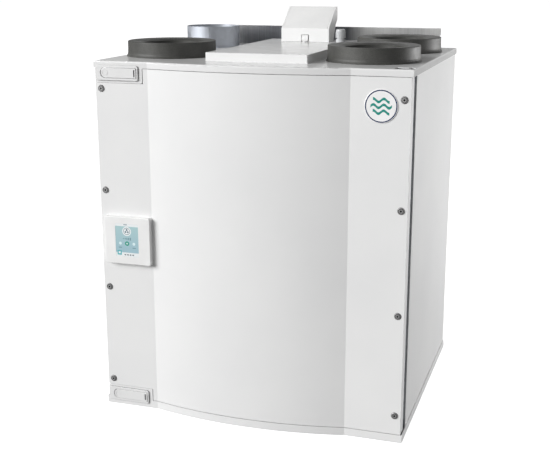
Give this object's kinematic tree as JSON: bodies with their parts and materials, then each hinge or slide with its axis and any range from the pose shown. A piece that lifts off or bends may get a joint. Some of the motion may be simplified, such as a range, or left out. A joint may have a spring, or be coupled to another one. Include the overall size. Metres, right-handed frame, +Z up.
{
  "type": "heat recovery unit",
  "caption": "Ventilation cabinet with a rotary heat exchanger: bulged hinged door with corner latches and touch panel, duct connections, terminal box and wall rail on top.",
  "frame": {"origin": "middle of the base's underside, midway between the flat door front and the back tray edge", "axes": "+Z up, -Y towards the person facing the door, +X to that person's right"},
  "size_m": [0.657, 0.5995, 0.8445],
  "materials": {
    "white_paint": "fine textured white powder coat, soft gloss",
    "galvanised_steel": "galvanised sheet with faint spangle",
    "steel": "zinc plated steel",
    "collar_rubber": "matt dark moulded cell rubber",
    "black_rubber": "matt black rubber",
    "insulation_foam": "mineral wool slab with dark grey fleece facing",
    "divider_foam": "moulded white bead foam",
    "aluminium": "bright rolled foil and sheet",
    "motor_black": "black enamel",
    "black_plastic": "glass filled black plastic",
    "filter_card": "white faced card",
    "filter_paper": "pleated white filter fleece",
    "circuit_board": "green solder mask",
    "grey_plastic": "light grey nylon",
    "white_plastic": "satin white moulded plastic",
    "screen": "lit touch display behind glass",
    "badge_white": "printed gloss label"
  },
  "bodies": {
    "cabinet": {"bottom_plate": "white_paint", "top_plate": "white_paint", "side_panels": "white_paint", "electrics_cover": "white_paint", "back_panel": "galvanised_steel", "front_frame": "galvanised_steel", "wall_rail": "galvanised_steel", "extract_spigot": "galvanised_steel", "riser_ducts": "galvanised_steel", "cassette_shell": "galvanised_steel", "cassette_faces": "galvanised_steel", "supply_fan_housing": "galvanised_steel", "exhaust_fan_housing": "galvanised_steel", "reheater_housing": "galvanised_steel", "filter_rails": "galvanised_steel", "electrics_tray": "galvanised_steel", "wall_rail_screws": "steel", "hinge_pins": "steel", "latch_pins": "steel", "rotor_bearings": "steel", "reheater_rods": "steel", "duct_collars": "collar_rubber", "wall_bumpers": "black_rubber", "drive_belt": "black_rubber", "brush_seals": "black_rubber", "insulation_walls": "insulation_foam", "insulation_top": "insulation_foam", "mid_shelves": "divider_foam", "rotor_motor": "motor_black", "supply_fan_motor": "motor_black", "exhaust_fan_motor": "motor_black", "supply_filter_frame": "filter_card", "extract_filter_frame": "filter_card", "supply_filter_media": "filter_paper", "extract_filter_media": "filter_paper", "control_board": "circuit_board", "terminal_strip": "grey_plastic", "cable_gland": "grey_plastic", "terminal_box": "white_plastic", "latch_plates": "white_plastic"},
    "door": {"door_skin": "white_paint", "door_insulation": "insulation_foam", "door_pan": "galvanised_steel", "door_gasket": "black_rubber", "door_screws": "steel", "door_knuckles": "galvanised_steel", "hmi_housing": "white_plastic", "hmi_screen": "screen", "badge": "badge_white"},
    "rotor": {"rotor_rim": "aluminium", "rotor_matrix": "aluminium", "rotor_hub": "aluminium", "rotor_shaft": "steel"},
    "rotor_pulley": {"motor_pulley": "black_plastic"},
    "supply_impeller": {"supply_fan_impeller": "black_plastic"},
    "exhaust_impeller": {"exhaust_fan_impeller": "black_plastic"},
    "top_lever": {"latch_lever_top": "white_plastic"},
    "bottom_lever": {"latch_lever_bottom": "white_plastic"},
    "terminal_lid": {"terminal_box_lid": "white_plastic"},
    "lid_catch": {"terminal_box_catch": "white_plastic"}
  },
  "joints": [
    {"name": "door_hinge", "type": "hinge", "parent": "cabinet", "child": "door", "pos_m": [0.311, -0.249, 0.375], "axis": [0, 0, 1], "range_deg": [0, 95]},
    {"name": "rotor_spin", "type": "hinge", "parent": "cabinet", "child": "rotor", "pos_m": [0, 0.01, 0.375], "axis": [1, 0, 0], "continuous": true},
    {"name": "rotor_pulley_spin", "type": "hinge", "parent": "cabinet", "child": "rotor_pulley", "pos_m": [0.064, -0.178, 0.563], "axis": [1, 0, 0], "continuous": true},
    {"name": "supply_fan_spin", "type": "hinge", "parent": "cabinet", "child": "supply_impeller", "pos_m": [-0.226, -0.0455, 0.508], "axis": [1, 0, 0], "continuous": true},
    {"name": "exhaust_fan_spin", "type": "hinge", "parent": "cabinet", "child": "exhaust_impeller", "pos_m": [0.2165, 0.0765, 0.185], "axis": [1, 0, 0], "continuous": true},
    {"name": "top_latch", "type": "hinge", "parent": "cabinet", "child": "top_lever", "pos_m": [-0.3064, -0.2832, 0.7264], "axis": [0, 0, -1], "range_deg": [0, 60]},
    {"name": "bottom_latch", "type": "hinge", "parent": "cabinet", "child": "bottom_lever", "pos_m": [-0.3064, -0.2832, 0.0248], "axis": [0, 0, -1], "range_deg": [0, 60]},
    {"name": "terminal_lid_hinge", "type": "hinge", "parent": "cabinet", "child": "terminal_lid", "pos_m": [0, 0.201, 0.8416], "axis": [-1, 0, 0], "range_deg": [0, 85]},
    {"name": "lid_catch_press", "type": "slide", "parent": "terminal_lid", "child": "lid_catch", "axis": [0, 1, 0], "range_m": [0, 0.001], "stiffness_N_per_m": 400}
  ],
  "couplings": [
    {"joint": "rotor_pulley_spin", "follows": "rotor_spin", "ratio": 10.061}
  ]
}
